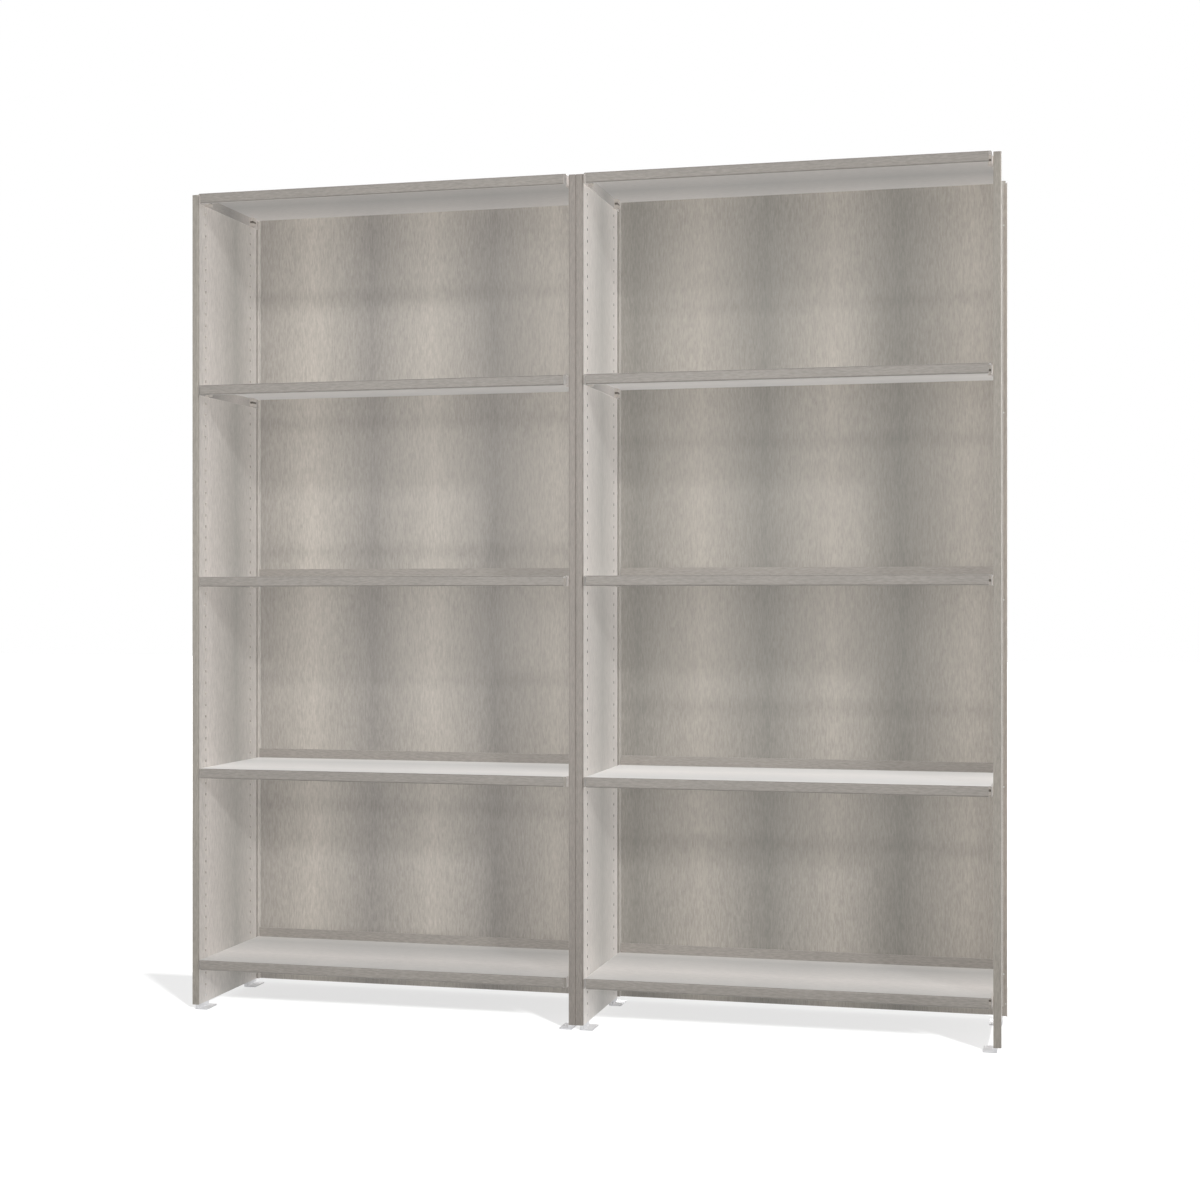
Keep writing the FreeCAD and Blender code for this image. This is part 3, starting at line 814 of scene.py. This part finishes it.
@dataclass
class Studio:
    """Pale floor, soft light from the front right, and the camera."""

    camera_place: tuple[float, float, float] = (1.2533, -4.9697, 1.0914)
    camera_turn_deg: float = 13.970
    lens_mm: float = 58.445
    sensor_mm: float = 36.0
    floor_half: float = 30.0
    sky_strength: float = 0.40
    key: Lamp = Lamp("key", height_deg=24.4, turn_deg=41.0, level=0.23, spread_deg=5.0)
    floor_key: Lamp = Lamp("floor_key", height_deg=24.4, turn_deg=41.0, level=2.2, spread_deg=5.0)
    fills: tuple[Lamp, ...] = (
        Lamp("front_fill", height_deg=9.0, turn_deg=-10.0, level=0.44, distance=6.0),
        Lamp("right_fill", height_deg=24.0, turn_deg=90.0, level=0.515, distance=5.0),
        Lamp("rear_fill", height_deg=9.0, turn_deg=180.0, level=0.50),
        Lamp("low_rear_fill", height_deg=-8.0, turn_deg=180.0, level=0.55),
        Lamp("left_fill", height_deg=0.0, turn_deg=-90.0, level=0.415),
        Lamp("top_fill", height_deg=90.0, turn_deg=0.0, level=0.05),
        Lamp("floor_fill", height_deg=-90.0, turn_deg=0.0, level=0.08),
    )
    floor_pale_hex: str = "#969696"
    floor_deep_hex: str = "#929292"
    floor_bounce_hex: str = "#626262"
    floor_glow: float = 0.585
    shadow_fade: tuple[float, float] = (0.62, 0.70)
    beside: tuple[float, float] = (1.07, 1.12)
    beside_step: float = 0.4
    floor_rim: tuple[float, float] = (1.4, 2.6)
    mottle_per_m: float = 1.5
    far_clip: float = 200.0

    def white_seen(self, tree: bpy.types.NodeTree) -> bpy.types.NodeSocket:
        """Adds the test for rays that should see a white background.

        Args:
            tree: The material's or the world's node tree.

        Returns:
            A socket that is 1 for the camera and for mirror and glass rays.
        """
        path = add_node(tree, "ShaderNodeLightPath")
        either = add_node(
            tree, "ShaderNodeMath", {"operation": "MAXIMUM"},
            {0: path.outputs["Is Camera Ray"], 1: path.outputs["Is Glossy Ray"]},
        )
        return add_node(
            tree, "ShaderNodeMath", {"operation": "MAXIMUM"},
            {0: either.outputs["Value"], 1: path.outputs["Is Transmission Ray"]},
        ).outputs["Value"]

    def light_world(self) -> None:
        """Lights the scene with a plain white sky."""
        world = bpy.data.worlds.new("studio_sky")
        bpy.context.scene.world = world
        world.use_nodes = True
        tree = world.node_tree
        tree.nodes.clear()
        seen = self.white_seen(tree)
        strength = add_node(
            tree, "ShaderNodeMapRange", {"To Min": self.sky_strength, "To Max": 1.0},
            {"Value": seen},
        )
        sky = add_node(
            tree, "ShaderNodeBackground", {"Color": WHITE},
            {"Strength": strength.outputs["Result"]},
        )
        add_node(tree, "ShaderNodeOutputWorld", links={"Surface": sky.outputs["Background"]})

    def add_lamps(self) -> None:
        """Adds the soft key from the front right and an even fill, without shadow, all round."""
        self.key.add(casts_shadow=True)
        for fill in self.fills:
            fill.add(casts_shadow=False)

    def floor_paint(self) -> bpy.types.Material:
        """Makes the floor's paint, white where it is lit and grey in the unit's shadow.

        Returns:
            The finished material.
        """
        material, tree = new_material("painted_floor")
        coords = add_node(tree, "ShaderNodeTexCoord").outputs["Object"]
        mottle = add_node(
            tree, "ShaderNodeTexNoise", {"Scale": self.mottle_per_m, "Detail": 2.0},
            {"Vector": coords},
        )
        colour = add_node(
            tree, "ShaderNodeMix",
            {"data_type": "RGBA", 6: linear(self.floor_deep_hex), 7: linear(self.floor_pale_hex)},
            {0: mottle.outputs["Fac"]},
        )
        seen = self.white_seen(tree)
        coat_colour = add_node(
            tree, "ShaderNodeMix", {"data_type": "RGBA", 6: linear(self.floor_bounce_hex)},
            {0: seen, 7: colour.outputs[2]},
        )
        paint_coat = add_node(
            tree, "ShaderNodeBsdfDiffuse", links={"Color": coat_colour.outputs[2]},
        )

        # Behind the unit and away from it the floor runs out to plain white, and sooner beside it.
        place = add_node(tree, "ShaderNodeSeparateXYZ", links={"Vector": coords})
        off_middle = add_node(
            tree, "ShaderNodeMath", {"operation": "ABSOLUTE"}, {0: place.outputs["X"]},
        )
        step = add_node(
            tree, "ShaderNodeMapRange",
            {"From Min": self.beside[0], "From Max": self.beside[1], "To Max": self.beside_step},
            {"Value": off_middle.outputs["Value"]},
        )
        behind = add_node(
            tree, "ShaderNodeMath", {"operation": "ADD"},
            {0: place.outputs["Y"], 1: step.outputs["Result"]},
        )
        reach = add_node(tree, "ShaderNodeVectorMath", {"operation": "LENGTH"}, {0: coords})
        runs_out = [
            add_node(
                tree, "ShaderNodeMapRange",
                {"From Min": near, "From Max": far, "To Min": self.floor_glow, "To Max": 1.0},
                {"Value": source},
            ).outputs["Result"]
            for source, (near, far) in (
                (behind.outputs["Value"], self.shadow_fade),
                (reach.outputs["Value"], self.floor_rim),
            )
        ]
        fade = add_node(
            tree, "ShaderNodeMath", {"operation": "MAXIMUM"}, {0: runs_out[0], 1: runs_out[1]},
        )
        lift = add_node(
            tree, "ShaderNodeMath", {"operation": "MULTIPLY"}, {0: fade.outputs["Value"], 1: seen},
        )
        glow = add_node(
            tree, "ShaderNodeEmission", {"Color": WHITE}, {"Strength": lift.outputs["Value"]},
        )
        coat = add_node(
            tree, "ShaderNodeAddShader",
            links={0: paint_coat.outputs["BSDF"], 1: glow.outputs["Emission"]},
        )
        add_node(tree, "ShaderNodeOutputMaterial", links={"Surface": coat.outputs["Shader"]})
        return material

    def lay_floor(self) -> None:
        """Lays the floor and gives it a key of its own."""
        deselect_all()
        bpy.ops.mesh.primitive_plane_add(size=2 * self.floor_half)
        floor = bpy.context.object
        floor.name = "floor"
        paint(floor, self.floor_paint())

        # The floor takes more of the key than the unit does, so that its shadow stays clear.
        floor_only = bpy.data.collections.new("floor_only")
        floor_only.objects.link(floor)
        self.floor_key.add(casts_shadow=True).light_linking.receiver_collection = floor_only

    def set_camera(self) -> None:
        """Sets the camera at the photograph's place, level and without shift."""
        lens = bpy.data.cameras.new("camera")
        lens.sensor_width = self.sensor_mm
        lens.lens = self.lens_mm
        lens.clip_end = self.far_clip
        camera = bpy.data.objects.new("camera", lens)
        camera.location = Vector(self.camera_place)
        camera.rotation_euler = (math.radians(90), 0, math.radians(self.camera_turn_deg))
        bpy.context.scene.collection.objects.link(camera)
        bpy.context.scene.camera = camera

    def build(self) -> None:
        """Sets up the whole studio."""
        bpy.context.scene.view_settings.view_transform = "Standard"
        self.light_world()
        self.add_lamps()
        self.lay_floor()
        self.set_camera()


def main() -> None:
    """Dresses the unit piece by piece and sets up the studio."""
    logging.basicConfig(level=logging.INFO, format="%(name)s: %(message)s")
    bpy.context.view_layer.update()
    SidePanels().dress()
    Shelves().dress()
    BackPanels().dress()
    Fittings().build()
    Studio().build()


if __name__ == "__main__":
    main()
